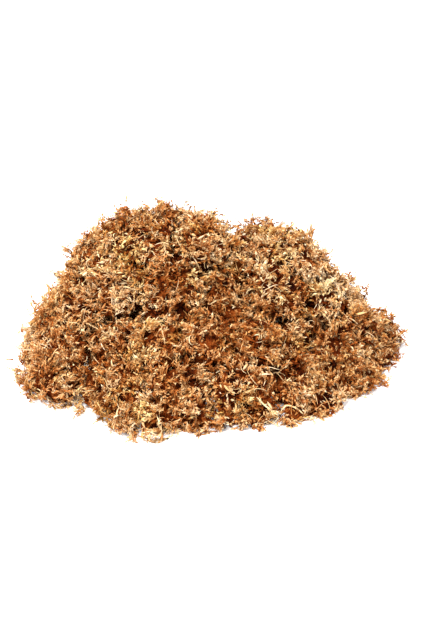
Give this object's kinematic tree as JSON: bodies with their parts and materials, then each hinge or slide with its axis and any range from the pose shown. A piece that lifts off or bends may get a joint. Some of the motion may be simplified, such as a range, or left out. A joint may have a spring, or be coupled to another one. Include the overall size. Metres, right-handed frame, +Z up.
{
  "type": "sphagnum moss clump",
  "caption": "Loose heap of dried, chopped golden-brown sphagnum moss: shaggy tufts of leafy tips with some bare stems and scraps of bark, lying flat on a surface",
  "frame": {"origin": "on the surface that the heap lies on, under the middle of its outline", "axes": "+X runs along the heap's longest side, +Y from its front to its back, and +Z up"},
  "size_m": [0.2516, 0.2068, 0.0952],
  "materials": {
    "moss_golden": "dry leafy moss, matt golden brown",
    "moss_russet": "dry leafy moss, matt russet brown",
    "moss_straw": "dry leafy moss, matt straw yellow",
    "stem_pale": "bare dried moss stem, pale straw, slightly silky",
    "bark_dark": "scrap of bark or dead twig, dark brown, rough"
  },
  "bodies": {
    "root": {"bark_scrap_back": "bark_dark", "bark_scrap_top": "bark_dark", "dark_needle_left": "bark_dark", "dark_stalk_top": "bark_dark", "dark_twig_right": "bark_dark", "pale_stem_back": "stem_pale", "pale_stem_back_left": "stem_pale", "pale_stem_foot": "stem_pale", "pale_stem_front": "stem_pale", "pale_stem_left": "stem_pale", "pale_stem_middle": "stem_pale", "pale_stem_right": "stem_pale", "tuft_01": "moss_golden", "tuft_02": "moss_golden", "tuft_03": "moss_straw", "tuft_04": "moss_straw", "tuft_05": "moss_russet", "tuft_06": "moss_golden", "tuft_07": "moss_golden", "tuft_08": "moss_russet", "tuft_09": "moss_golden", "tuft_10": "moss_golden", "tuft_11": "moss_russet", "tuft_12": "moss_golden", "tuft_13": "moss_golden", "tuft_14": "moss_russet", "tuft_15": "moss_straw", "tuft_16": "moss_golden", "tuft_17": "moss_straw", "tuft_18": "moss_golden", "tuft_19": "moss_golden", "tuft_20": "moss_straw", "tuft_21": "moss_golden", "tuft_22": "moss_straw", "tuft_23": "moss_straw", "tuft_24": "moss_russet", "tuft_25": "moss_golden", "tuft_26": "moss_golden", "tuft_27": "moss_golden", "tuft_28": "moss_straw", "tuft_29": "moss_russet", "tuft_30": "moss_straw", "tuft_31": "moss_golden", "tuft_32": "moss_golden", "tuft_33": "moss_golden", "tuft_34": "moss_russet", "tuft_35": "moss_russet", "tuft_36": "moss_golden", "tuft_37": "moss_straw", "tuft_38": "moss_russet", "tuft_39": "moss_golden", "tuft_40": "moss_russet", "tuft_41": "moss_russet", "tuft_42": "moss_straw", "tuft_43": "moss_russet", "tuft_44": "moss_golden", "tuft_45": "moss_russet", "tuft_46": "moss_russet"}
  },
  "joints": []
}
